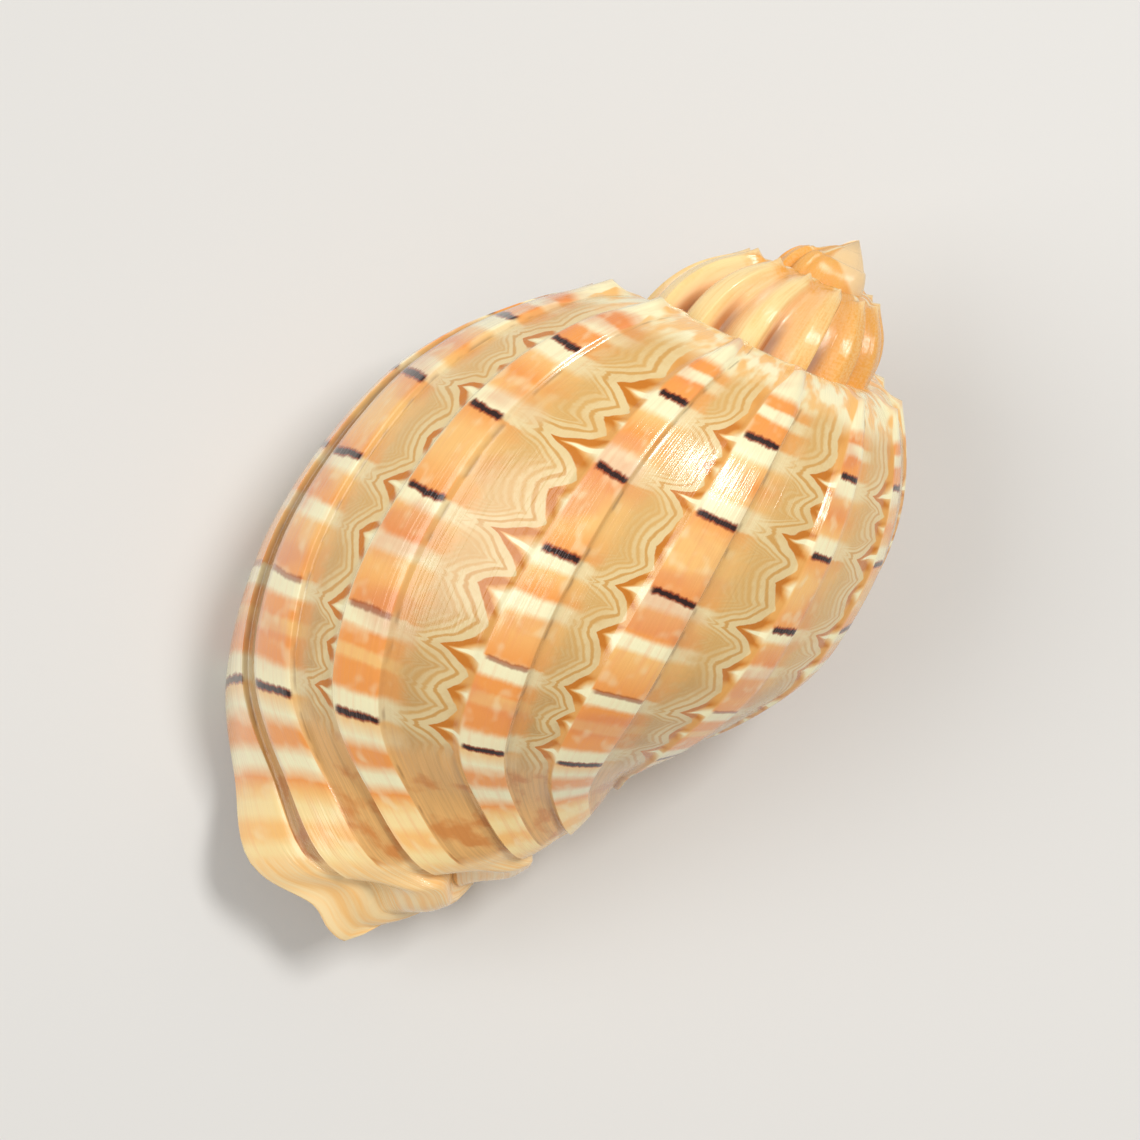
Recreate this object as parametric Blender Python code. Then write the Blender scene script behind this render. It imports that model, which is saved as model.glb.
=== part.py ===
"""A harp shell: a ribbed, coiled snail shell with a wide mouth, modelled as one solid.

The shell grows by turning about its axis while it gets larger at a steady rate. One growth edge,
the outline of the mouth's outer lip, is swept back through three whorls from the lip, and each
whorl is the next one scaled down, with a slightly slimmer base and a blunter tip. The hollow
behind the mouth is swept the same way.

Points on the growth edge are (across, back, down) in millimetres: across towards the lip,
towards the back of the shell, and down the axis from the tip of the spire.
"""

import math

import bmesh
import bpy
import numpy as np
from mathutils import Euler, Matrix, Vector

MM = 0.001
TURN = 2 * math.pi

WHORL_GROWTH = 2.487  # each whorl is this many times as large as the one before it
WHORLS = 3
SMOOTH_START = 2.3  # whorls back from the lip, where the ribs of the young shell begin

RIBS_PER_WHORL = 13
RIB_ANGLE = TURN / RIBS_PER_WHORL
LIP_RIB_ANGLE = math.radians(10.9)  # the youngest rib, from the plane of the growth edge
RIB_HEIGHT = 0.6
RIB_HALF_TOP = 0.12  # in rib spacings, as are the next three
RIB_FLANK = 0.08
RIB_COLUMNS = (-0.46, -0.2, -0.12, 0.0, 0.12, 0.2)
LIP_COLUMNS = (-0.46, -0.2, -0.12, 0.0, 0.12, 0.17, 0.2)
LIP_EDGE_DROP = {0.17: 0.35, 0.2: 1.0}  # how far the lip's outer edge turns in, by column
SPINE_HEIGHT = 0.6
SPINE_HALF_WIDTH = 0.2
FOOT_FADE = (0.8, 0.5, 0.2, 0.0, 0.0)  # how the ribs die out over the growth edge's last rows
TIP_DROP = 0.54  # how far the blunt tip of the spire is below the point that the whorls wind to
TIP_FADE = 7.8  # over this distance down the axis, the drop falls to about a third
OLD_BASE_START = math.radians(-64)  # the angle of growth behind which the base was slimmer
OLD_BASE_FADE = math.radians(74)  # the turn over which it reaches that slimmer form
OLD_BASE_TOP = 41.0  # the slimming starts this far down the growth edge
OLD_BASE_DEPTH = 17.0  # and is full this much further down
OLD_BASE_RISE = 0.5
OLD_BASE_SLIM = 0.064  # as a share of the distance from the axis
LIP_SAG = (0.0, 0.7, 1.2, 1.2, 1.0, 0.6, 0.2)  # how far the first rows draw in towards the lip
LIP_SAG_START = -2  # the rib that they start to draw in from

SHOULDER_RAMP = (12.6, 0.0, 13.8)
SHOULDER = (14.8, 0.0, 14.7)
UPPER_BELLY = (20.4, -0.5, 20.9)
BELLY = (23.8, -0.4, 28.9)
NEXT_SUTURE = (24.7, 0.0, 35.1)
LOWER_BELLY = (23.9, 1.1, 47.3)
BASE = (20.1, 2.6, 55.6)
NECK = (14.8, 5.0, 59.8)
LIP_CORNER = (7.6, 9.1, 63.2)
NOTCH = (4.2, 9.1, 62.4)
FOOT = (1.4, 7.7, 64.0)
FOOT_INSIDE = (-1.6, 5.2, 62.0)
AXIS_END = (0.0, 0.0, 50.0)
SUTURE = tuple(value / WHORL_GROWTH for value in NEXT_SUTURE)
EDGE_KNOTS = (
    SUTURE, SHOULDER_RAMP, SHOULDER, UPPER_BELLY, BELLY, NEXT_SUTURE, LOWER_BELLY, BASE, NECK,
    LIP_CORNER, NOTCH, FOOT, FOOT_INSIDE, AXIS_END,
)
ROWS_TO_KNOT = (1, 1, 2, 2, 1, 2, 2, 2, 2, 2, 2, 1, 1)
SHOULDER_ROW = 2
NEXT_SUTURE_ROW = 7
HOLLOW_LAST_ROW = 18

WALL = 1.2
LIP_WALL = 1.9
LIP_WALL_ANGLE = math.radians(14)
LIP_BEVEL = 0.4
LIP_BEVEL_ANGLE = math.radians(3)
HOLLOW_KNOTS = (  # the hollow's inner side: down the whorl behind, then close along the axis
    (10.15, 0.0, 16.4), (9.8, 0.45, 19.1), (8.2, 1.05, 22.6), (6.05, 2.05, 24.3), (2.5, 0.3, 28.0),
    (1.6, 0.3, 36.0), (1.2, 0.2, 45.0), (1.2, 0.8, 53.0), (1.3, 3.0, 58.6), (1.6, 5.4, 60.2),
)
ROWS_TO_HOLLOW_KNOT = (2, 2, 2, 2, 2, 2, 2, 2, 1)
HOLLOW_START = math.radians(30)  # in the open air, past the lip
HOLLOW_END = math.radians(-225)
HOLLOW_STEP = math.radians(10)

PILLAR_CENTRE = (0.0, 2.4, 58.5)
PILLAR_RADIUS = 2.7
PILLAR_TOP = math.radians(-400)
PILLAR_RINGS = 16
PILLAR_SIDES = 16
PILLAR_FOOT = (  # the centre and radius of each ring of its rounded end, which bends back
    ((0.1, 3.0, 59.8), 2.5), ((0.3, 4.1, 61.0), 2.0), ((0.6, 5.2, 61.9), 1.2),
)

PITCH = math.radians(15.73)  # the shell rests on its belly and the edge of its lip
ROLL = math.radians(2.1)
TIP_AT_REST = (5.211, 33.283, 18.469)  # where the whorls' winding point is then, in mm

SHARP_ANGLE = math.radians(40)
SHELL_COLOUR = (0.86, 0.62, 0.38, 1.0)


def growth(angle):
    return WHORL_GROWTH ** (angle / TURN)


def smooth_step(value):
    value = np.clip(value, 0, 1)
    return value * value * (3 - 2 * value)


def angle_of(place):
    """The angle of growth at a place given in rib spacings from the lip's rib."""
    return LIP_RIB_ANGLE + place * RIB_ANGLE


LIP_ANGLE = angle_of(LIP_COLUMNS[-1])


def swept(points, angle):
    """Points on the growth edge carried to another angle of growth, as metres in the shell's frame."""
    across, back, down = np.moveaxis(points, -1, 0)
    older = smooth_step((OLD_BASE_START - angle) / OLD_BASE_FADE)
    older = older * smooth_step((down - OLD_BASE_TOP) / OLD_BASE_DEPTH)
    size = growth(angle)
    width = size * (1 - OLD_BASE_SLIM * older)
    down = size * (down - OLD_BASE_RISE * older)
    down = down + TIP_DROP * np.exp(-down / TIP_FADE)
    cos, sin = math.cos(angle), math.sin(angle)
    x, y = width * (cos * across + sin * back), width * (cos * back - sin * across)
    return MM * np.stack([x, y, -down], -1)


def curve_through(knots, rows_to_knot):
    """Points on a smooth curve through the knots, with some rows of them up to each knot."""
    knots = np.array(knots)
    lengths = np.linalg.norm(np.diff(knots, axis=0), axis=1)
    slopes = np.gradient(knots, np.concatenate([[0], np.cumsum(lengths)]), axis=0)
    rows = [knots[0]]
    for i, count in enumerate(rows_to_knot):
        for t in np.arange(1, count + 1) / count:
            rows.append(
                (1 + 2 * t) * (1 - t) ** 2 * knots[i] + t * t * (3 - 2 * t) * knots[i + 1]
                + lengths[i] * (t * (1 - t) ** 2 * slopes[i] + t * t * (t - 1) * slopes[i + 1])
            )
    return np.array(rows)


def edge_normals(edge):
    """The outward direction of the swept surface at each row of the growth edge."""
    along = np.gradient(edge, axis=0)
    across, back, down = edge.T
    rate = math.log(WHORL_GROWTH) / TURN
    turning = np.stack([rate * across + back, rate * back - across, rate * down], -1)
    normal = np.cross(along, turning)
    return normal / np.maximum(np.linalg.norm(normal, axis=1, keepdims=True), 1e-9)


def columns_of_one_whorl():
    """Places along the last whorl in rib spacings from the lip's rib, the oldest first."""
    older = range(1 - RIBS_PER_WHORL, 0)
    return [rib + column for rib in older for column in RIB_COLUMNS] + list(LIP_COLUMNS)


def columns_of_all_whorls():
    whorl = columns_of_one_whorl()
    starts = [-RIBS_PER_WHORL * turn for turn in range(WHORLS - 1, -1, -1)]
    first = starts[0] - RIBS_PER_WHORL + LIP_COLUMNS[-1]
    return [first] + [start + place for start in starts for place in whorl]


def sag(angle, rows):
    """How far each row draws in, as the shoulder grows less proud towards the lip."""
    start = angle_of(LIP_SAG_START)
    depth = np.zeros(rows)
    depth[:len(LIP_SAG)] = LIP_SAG
    return depth * smooth_step((angle - start) / (LIP_ANGLE - start))


def surface_heights(place, rows):
    """How far each row stands off the swept edge at a place: its rib, its spine, the lip's turn."""
    off = abs(place - round(place))
    heights = np.full(rows, RIB_HEIGHT * smooth_step((RIB_HALF_TOP + RIB_FLANK - off) / RIB_FLANK))
    heights[SHOULDER_ROW] += SPINE_HEIGHT * max(0, 1 - off / SPINE_HALF_WIDTH)
    heights *= smooth_step((SMOOTH_START * RIBS_PER_WHORL + place) / 4)
    heights -= LIP_EDGE_DROP.get(place, 0)
    heights[-len(FOOT_FADE):] *= FOOT_FADE
    return heights - sag(angle_of(place), rows)


def quads(ids):
    """Faces between the neighbouring rows and columns of a grid of point numbers."""
    return [
        [ids[i, j], ids[i + 1, j], ids[i + 1, j + 1], ids[i, j + 1]]
        for i in range(len(ids) - 1) for j in range(len(ids[0]) - 1)
    ]


def mesh_object(name, points, faces):
    mesh = bpy.data.meshes.new(name)
    mesh.from_pydata(points.tolist(), [], [[int(corner) for corner in face] for face in faces])
    shape = bmesh.new()
    shape.from_mesh(mesh)
    bmesh.ops.delete(shape, geom=[v for v in shape.verts if not v.link_faces], context="VERTS")
    bmesh.ops.recalc_face_normals(shape, faces=shape.faces)
    if shape.calc_volume(signed=True) < 0:
        bmesh.ops.reverse_faces(shape, faces=shape.faces)
    shape.to_mesh(mesh)
    shape.free()
    mesh.shade_smooth()
    mesh.set_sharp_from_angle(angle=SHARP_ANGLE)
    obj = bpy.data.objects.new(name, mesh)
    bpy.context.scene.collection.objects.link(obj)
    return obj


def tube(name, rings):
    """A closed tube through rings of points, each end closed by strips from one side to the other."""
    ids = np.arange(len(rings) * len(rings[0])).reshape(len(rings), -1)
    half = len(rings[0]) // 2
    faces = quads(np.concatenate([ids, ids[:, :1]], axis=1))
    for end in (ids[0], ids[-1]):
        faces += quads(np.array([end[:half], end[:half - 1:-1]]))
    obj = mesh_object(name, np.concatenate(rings), faces)
    obj.hide_render = True
    obj.display_type = "WIRE"
    return obj


def outside_of_shell():
    """The closed outer form: the coiled surface, the spire's tip, and a face across the mouth."""
    edge = curve_through(EDGE_KNOTS, ROWS_TO_KNOT)
    normals = edge_normals(edge)
    places = columns_of_all_whorls()
    lip = len(places) - 1
    per_whorl = lip // WHORLS
    body = lip - per_whorl  # the column behind the lip, one whorl back
    suture = NEXT_SUTURE_ROW

    surface = np.array([
        swept(edge + surface_heights(place, len(edge))[:, None] * normals, angle_of(place))
        for place in places
    ])
    ids = np.arange(len(places) * len(edge)).reshape(len(places), -1)
    ids[per_whorl:, 0] = ids[:-per_whorl, suture]
    tip = ids.max() + 1
    spire_tip = (0, 0, -TIP_DROP * MM)

    size = np.array([growth(angle_of(place)) for place in places[body:]])
    reach = (size - size[0]) / (size[-1] - size[0])
    mouth = surface[body] + reach[:, None, None] * (surface[lip] - surface[body])
    mouth_ids = tip + 1 + np.arange(len(mouth) * len(edge)).reshape(len(mouth), -1)
    mouth_ids[0], mouth_ids[-1], mouth_ids[:, -1] = ids[body], ids[lip], ids[body:, -1]

    faces = quads(ids[:, :suture + 1]) + quads(ids[body:, suture:]) + quads(mouth_ids[:, suture:])
    faces.append([*ids[lip, :suture + 1], *mouth_ids[-2:0:-1, suture]])
    faces.append([*ids[0, :suture + 1], tip])
    faces += [[ids[i, 0], ids[i + 1, 0], tip] for i in range(per_whorl)]
    points = np.concatenate([surface.reshape(-1, 3), [spire_tip], mouth.reshape(-1, 3)])
    return mesh_object("shell", points, faces)


def wall_at(angle):
    """The wall's thickness, which grows towards the lip and is bevelled off at its rim."""
    behind = LIP_ANGLE - angle
    thick = WALL + (LIP_WALL - WALL) * smooth_step(2 - behind / LIP_WALL_ANGLE)
    return thick - LIP_BEVEL * smooth_step(1 - behind / LIP_BEVEL_ANGLE)


def hollow():
    """The hollow behind the mouth, one closed tube that runs back from in front of the lip."""
    edge = curve_through(EDGE_KNOTS, ROWS_TO_KNOT)
    normals = edge_normals(edge)
    inner = curve_through(HOLLOW_KNOTS, ROWS_TO_HOLLOW_KNOT)[::-1]
    rings = []
    for angle in np.arange(HOLLOW_START, HOLLOW_END, -HOLLOW_STEP):
        depths = wall_at(angle) + sag(angle, len(edge))
        outer = (edge - depths[:, None] * normals)[1:HOLLOW_LAST_ROW + 1]
        rings.append(swept(np.concatenate([outer, inner]), angle))
    return tube("hollow", rings)


def columella():
    """The twisted pillar that the shell coils round."""
    sides = np.arange(PILLAR_SIDES) * TURN / PILLAR_SIDES
    circle = np.stack([np.cos(sides), np.sin(sides), 0 * sides], -1)
    turns = np.linspace(PILLAR_TOP, LIP_ANGLE, PILLAR_RINGS)
    rings = [swept(PILLAR_CENTRE + PILLAR_RADIUS * circle, angle) for angle in turns]
    rings += [swept(centre + radius * circle, LIP_ANGLE) for centre, radius in PILLAR_FOOT]
    return tube("columella", rings)


def combine(obj, other, operation):
    boolean = obj.modifiers.new(f"{operation} {other.name}", "BOOLEAN")
    boolean.operation = operation
    boolean.object = other
    boolean.solver = "EXACT"


def lay_down(objects):
    """Lays the shell on its mouth on Z = 0, with its back up and its spire towards +Y."""
    upright_to_lying = Matrix(((-1, 0, 0), (0, 0, 1), (0, 1, 0)))
    tilt = Euler((PITCH, ROLL, 0)).to_matrix()
    place = Matrix.Translation(Vector(TIP_AT_REST) * MM)
    for obj in objects:
        obj.matrix_world = place @ (tilt @ upright_to_lying).to_4x4()


def shell_material():
    material = bpy.data.materials.new("shell")
    material.use_nodes = True
    shader = material.node_tree.nodes["Principled BSDF"]
    shader.inputs["Base Color"].default_value = SHELL_COLOUR
    shader.inputs["Roughness"].default_value = 0.2
    shader.inputs["Metallic"].default_value = 0.0
    return material


def main():
    for obj in list(bpy.data.objects):
        bpy.data.objects.remove(obj)
    shell = outside_of_shell()
    pillar = columella()
    inside = hollow()
    combine(shell, inside, "DIFFERENCE")
    combine(shell, pillar, "UNION")
    shell.data.materials.append(shell_material())
    lay_down([shell, pillar, inside])


main()
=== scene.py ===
"""The looks of the harp shell: its surface in full detail, its markings and its gloss.

The shell is grown here as the CAD solid is: one growth edge, the outline of the mouth's outer
lip, is swept back through three whorls, each a smaller copy of the next. Points on the growth
edge are (across, back, down) in millimetres: across towards the lip, towards the back of the
shell, and down the axis from the tip of the spire. A place along a whorl is counted in ribs, 0
at the lip's own rib and less towards the spire.
"""

import math

import bmesh
import bpy
import numpy as np
from mathutils import Euler, Matrix, Vector


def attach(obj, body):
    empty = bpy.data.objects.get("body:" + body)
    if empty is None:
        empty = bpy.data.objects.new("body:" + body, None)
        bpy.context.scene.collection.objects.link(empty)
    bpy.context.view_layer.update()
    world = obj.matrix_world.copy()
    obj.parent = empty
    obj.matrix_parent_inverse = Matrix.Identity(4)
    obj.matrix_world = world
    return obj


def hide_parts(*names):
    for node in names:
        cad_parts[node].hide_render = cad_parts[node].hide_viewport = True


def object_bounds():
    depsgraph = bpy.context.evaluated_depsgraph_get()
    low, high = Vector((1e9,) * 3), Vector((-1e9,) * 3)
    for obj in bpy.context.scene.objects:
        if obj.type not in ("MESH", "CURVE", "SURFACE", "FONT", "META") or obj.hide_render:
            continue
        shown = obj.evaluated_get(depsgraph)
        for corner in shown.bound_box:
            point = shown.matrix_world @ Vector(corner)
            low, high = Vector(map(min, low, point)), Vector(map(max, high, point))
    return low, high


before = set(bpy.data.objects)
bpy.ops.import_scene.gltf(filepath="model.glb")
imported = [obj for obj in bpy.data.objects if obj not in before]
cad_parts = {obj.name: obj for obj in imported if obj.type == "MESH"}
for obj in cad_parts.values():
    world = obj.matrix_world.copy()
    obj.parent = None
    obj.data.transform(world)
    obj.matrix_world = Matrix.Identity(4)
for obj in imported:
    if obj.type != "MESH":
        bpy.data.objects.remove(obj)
cad_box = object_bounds()

MM = 0.001
TURN = 2 * math.pi

WHORL_GROWTH = 2.487  # each whorl is this many times as large as the one before it
WHORLS = 3
SMOOTH_START = 2.22  # whorls back from the lip, where the ribs of the young shell begin
SMOOTH_FADE = 2  # how many ribs it takes them to grow to their full height
SMOOTH_SPINE_FADE = 4  # and their points

# Unless something else is said, lengths are in millimetres at the size of the youngest whorl,
# places and distances along a whorl are in ribs, and rows are counted down the growth edge.
RIBS_PER_WHORL = 13
RIB_ANGLE = TURN / RIBS_PER_WHORL
LIP_RIB_ANGLE = math.radians(10.9)  # the youngest rib, from the plane of the growth edge
LIP_PLACE = 0.2
RIB_HEIGHT = 0.45
RIB_HALF = 0.15  # half a rib's width, in rib spacings
GAP = 1 - 2 * RIB_HALF  # the ground between two ribs
RIB_STEEP = 0.035  # the width of its flank towards the spire
RIB_GENTLE = 0.09  # and towards the lip
# The older and the younger edge of the youngest ribs. The rest are as wide as RIB_HALF says.
RIB_EDGES = (
    (-0.63, 0.1), (-1.3, -0.89), (-2.19, -1.885), (-3.24, -2.99), (-4.13, -3.79), (-5.12, -4.88),
    (-6.13, -5.87), (-7.12, -6.86), (-8.16, -7.84), (-9.14, -8.87), (-10.15, -9.86), (-11.16, -10.85),
)
RIB_SPREAD = 0.1  # how much further towards the spire a rib reaches at the base
RIB_SPREAD_START = 6  # the row where it begins to
RIB_SPREAD_ROWS = 5
RAMP_RIB = 0.3  # how much of a rib's height is left between the shoulder and the suture
RAMP_ROWS = 0.6
SHOULDER_NARROWING = 0.5  # how much of its width a rib loses at the shoulder
NARROWING_ROW = 3.5  # the row where it begins to
END_ROWS = 0.5  # the rows at the axis that have no relief
END_FADE_ROWS = 2.5
GROOVE_DEPTH = 0.12  # between the lip's own rib and the next, which are close together
GROOVE_SIDE = 0.1

SPIRE_START = -9  # where the ribs begin to round over to those of the spire
SPIRE_FADE = 4
SPIRE_RIB_HEIGHT = 4.4
SPIRE_RAMP_RIB = 0.3  # how much of it is left at the suture
SPIRE_RAMP_ROWS = 5
SPIRE_SHOULDER = 0.7  # how much prouder the shoulder is on the spire
SPIRE_SHOULDER_ROWS = 0.9
SPIRE_SHIFT = (0.0, 0.0, 1.2)  # of the shoulder on the spire
SPIRE_SHIFT_ROWS = 1.2
OLD_SHOULDER_SHIFT = (2.0, 0.0, 3.0)  # and on the whorl under the tip, besides
OLD_SHOULDER_START = -23
OLD_SHOULDER_FADE = 3

SPINE_REACH = (0.45, 0.0, -0.8)  # across, back and down
SPIRE_SPINE_EXTRA = 0.6  # how much longer the points of the spire are
SPINE_HALF = 0.13
SPINE_ROWS = 0.4

SHINGLE_HEIGHT = 1.2  # of the folds of the base
SHINGLE_STEP = 0.05
PETAL_HEIGHT = 1.9  # of the lobes at its rim
RIM_ROWS = 2
PETAL_ENDS = (-0.58, -1.74, -3.0, -4.2)  # where the youngest lobes end

TIP_DROP = 0.3  # how far the tip of the spiral is drawn down
TIP_FADE = 7.8
TIP_BLUNT = 0.28
TIP_SHRINK = 0.31
TIP_SHRINK_START = -33
TIP_SHRINK_FADE = 5
CONE_START = -31.5
CONE_FADE = 2

OLD_BASE_START = math.radians(-64)  # the older base is slimmer than the spiral would make it
OLD_BASE_FADE = math.radians(74)
OLD_BASE_TOP = 41.0
OLD_BASE_DEPTH = 17.0
OLD_BASE_RISE = 0.5
OLD_BASE_SLIM = 0.074

LIP_ROUND = 0.1  # how far back from its edge the lip's outside turns in
LIP_DROP = 1.0
LIP_SAG = (0.0, 0.7, 1.2, 1.2, 1.0, 0.6, 0.2, 0.0)  # how far each row draws in by the lip
LIP_SAG_START = -2
FOOT_SHIFT = (0.0, 0.6, 1.1, 1.2, 1.3, 0.5, 0.0)  # of each row from the one at the lip's corner
FOOT_SHIFT_REACH = (-1.0, -0.3, 0.0)
FOOT_LIFT = (0.0, 0.0, 0.0, 0.0, -0.3, -3.6, 0.0)
FOOT_SHIFT_START = -0.4

SHOULDER_RAMP = (12.6, 0.0, 13.8)
SHOULDER = (14.8, 0.0, 14.7)
UPPER_BELLY = (20.4, -0.5, 20.9)
BELLY = (23.8, -0.4, 28.9)
NEXT_SUTURE = (24.7, 0.0, 35.1)
LOWER_BELLY = (23.9, 1.1, 47.3)
BASE = (20.1, 2.6, 55.6)
NECK = (14.8, 5.0, 59.8)
LIP_CORNER = (7.6, 9.1, 63.2)
NOTCH = (4.2, 9.1, 62.4)
FOOT = (1.4, 7.7, 64.0)
FOOT_INSIDE = (-1.6, 5.2, 62.0)
AXIS_END = (0.0, 0.0, 50.0)
SUTURE = tuple(value / WHORL_GROWTH for value in NEXT_SUTURE)
EDGE_KNOTS = (
    SUTURE, SHOULDER_RAMP, SHOULDER, UPPER_BELLY, BELLY, NEXT_SUTURE, LOWER_BELLY, BASE, NECK,
    LIP_CORNER, NOTCH, FOOT, FOOT_INSIDE, AXIS_END,
)
ROWS_TO_KNOT = (1, 1, 2, 2, 1, 2, 2, 2, 2, 2, 2, 1, 1)  # rows are counted as in the CAD solid
ROW_DETAIL = 4  # points for each of them here
# Points across each part of a rib spacing, from the older end. Neighbouring parts share one.
COLUMNS_BEFORE = 7
COLUMNS_STEEP = 5
COLUMNS_FLAT = 8
COLUMNS_GENTLE = 6
COLUMNS_AFTER = 6
COLUMNS_LIP = 10
SHOULDER_ROW = 2
NEXT_SUTURE_ROW = 7
BASE_ROW = 11
LIP_CORNER_ROW = 15
LAST_ROW = sum(ROWS_TO_KNOT)
HOLLOW_LAST_ROW = 18

WALL = 1.2
LIP_WALL = 1.9  # the wall grows thicker over the last few degrees, and is then bevelled off
LIP_WALL_ANGLE = math.radians(14)
LIP_BEVEL = 0.4
LIP_BEVEL_ANGLE = math.radians(3)
HOLLOW_KNOTS = (  # the hollow's inner side, from the shoulder down to the foot
    (10.15, 0.0, 16.4), (9.8, 0.45, 19.1), (8.2, 1.05, 22.6), (6.05, 2.05, 24.3), (2.5, 0.3, 28.0),
    (1.6, 0.3, 36.0), (1.2, 0.2, 45.0), (1.2, 0.8, 53.0), (1.3, 3.0, 58.6), (1.6, 5.4, 60.2),
)
ROWS_TO_HOLLOW_KNOT = (2, 2, 2, 2, 2, 2, 2, 2, 1)
HOLLOW_START = math.radians(30)
HOLLOW_END = math.radians(-225)
HOLLOW_STEP = math.radians(2.5)

PILLAR_CENTRE = (0.0, 2.4, 58.5)
PILLAR_RADIUS = 2.7
PILLAR_TOP = math.radians(-400)
PILLAR_RINGS = 120
PILLAR_SIDES = 64
PILLAR_FOOT = (  # the centres and the radii of its rounded end
    ((0.1, 3.2, 58.6), 1.6), ((0.1, 3.9, 59.0), 1.1), ((0.0, 4.6, 59.2), 0.5),
)
PILLAR_FOOT_RINGS = 4  # rings from each of them to the next
PILLAR_FOOT_STEP = 0.02  # the turn from one of those rings to the next, for the markings alone
PILLAR_SLIM = 0.28  # how much of its width it loses by the lip
PILLAR_RISE = 0.8  # and how far it draws up
PILLAR_SLIM_ANGLE = math.radians(50)

PITCH = math.radians(15.73)
ROLL = math.radians(2.1)
TIP_AT_REST = (5.211, 33.283, 18.469)

CAMERA_TURN = math.radians(34.62)
CAMERA_TILT = math.radians(-8.39)
CAMERA_TO_TIP = (22.245, 25.4625, 191.9025)  # right, up and away from the camera, in millimetres
CAMERA_LENS = 80.02
CAMERA_SENSOR = 36
CAMERA_NEAR = 0.01

# Each light: its name, azimuth and elevation in degrees, distance and size in metres, and power.
LIGHTS = (
    ("key", -30, 62, 0.5, (0.18, 0.09), 1.45),
    ("fill", 120, 45, 0.6, (0.5, 0.4), 1.6),
)
STUDIO_COLOUR = (0.95, 0.93, 0.9, 1)
STUDIO_STRENGTH = 0.36
FLOOR_SIZE = 3
FLOOR_ROUGHNESS = 0.7

SHARP_EDGE = math.radians(50)

OUTSIDE, INSIDE, CALLUS = 0, 1, 2


def growth(angle):
    return WHORL_GROWTH ** (angle / TURN)


def angle_of(place):
    return LIP_RIB_ANGLE + place * RIB_ANGLE


def swept(points, angle):
    """Points on the growth edge carried to another angle of growth, as metres in the shell's frame."""
    across, back, down = np.moveaxis(points, -1, 0)
    older = smooth_step((OLD_BASE_START - angle) / OLD_BASE_FADE)
    older = older * smooth_step((down - OLD_BASE_TOP) / OLD_BASE_DEPTH)
    size = growth(angle)
    width = size * (1 - OLD_BASE_SLIM * older)
    down = size * (down - OLD_BASE_RISE * older)
    down = down + TIP_DROP * np.exp(-down / TIP_FADE)
    cos, sin = np.cos(angle), np.sin(angle)
    x, y = width * (cos * across + sin * back), width * (cos * back - sin * across)
    return MM * np.stack([x, y, -down], -1)


def smooth_step(value):
    value = np.clip(value, 0, 1)
    return value * value * (3 - 2 * value)


def curve_through(knots, rows_to_knot):
    """Points on a smooth curve through the knots, with some rows of them up to each knot."""
    knots = np.array(knots)
    lengths = np.linalg.norm(np.diff(knots, axis=0), axis=1)
    slopes = np.gradient(knots, np.concatenate([[0], np.cumsum(lengths)]), axis=0)
    rows = [knots[0]]
    for i, count in enumerate(rows_to_knot):
        for t in np.arange(1, count + 1) / count:
            rows.append(
                (1 + 2 * t) * (1 - t) ** 2 * knots[i] + t * t * (3 - 2 * t) * knots[i + 1]
                + lengths[i] * (t * (1 - t) ** 2 * slopes[i] + t * t * (t - 1) * slopes[i + 1])
            )
    return np.array(rows)


def edge_normals(edge):
    """The outward direction of the swept surface at each row of the growth edge."""
    along = np.gradient(edge, axis=0)
    across, back, down = edge.T
    rate = math.log(WHORL_GROWTH) / TURN
    turning = np.stack([rate * across + back, rate * back - across, rate * down], -1)
    normal = np.cross(along, turning)
    return normal / np.maximum(np.linalg.norm(normal, axis=1, keepdims=True), 1e-9)


def smooth_table(values, at):
    """The values as a smooth function of their own position in the list."""
    values = np.array(values, float)
    slopes = np.gradient(values)
    low = np.clip(np.floor(at).astype(int), 0, len(values) - 2)
    t = np.clip(at - low, 0, 1)
    return (
        (1 + 2 * t) * (1 - t) ** 2 * values[low] + t * t * (3 - 2 * t) * values[low + 1]
        + t * (1 - t) ** 2 * slopes[low] + t * t * (t - 1) * slopes[low + 1]
    )


def place_of(rib_place, row):
    """Where each column lies along the whorl, as the youngest ribs differ in width and spacing."""
    regular = [-RIBS_PER_WHORL * (WHORLS + 1), -RIBS_PER_WHORL + RIB_HALF]
    ribs = range(1 - len(RIB_EDGES), 1)
    even = [rib + side for rib in ribs for side in (-RIB_HALF, RIB_HALF)]
    shoulder = [edge for edges in RIB_EDGES[::-1] for edge in edges]
    even[-1] = shoulder[-1]
    base = np.array(shoulder)
    base[:-2:2] -= RIB_SPREAD
    columns = [*regular, *even, LIP_PLACE]
    high = np.interp(rib_place, columns, [*regular, *shoulder, LIP_PLACE])
    low = np.interp(rib_place, columns, [*regular, *base, LIP_PLACE])
    lower = smooth_step((row - RIB_SPREAD_START) / RIB_SPREAD_ROWS)
    place = high * (1 - lower) + low * lower
    return rib_place + (place - rib_place) * smooth_step(row / SHOULDER_ROW)


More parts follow.
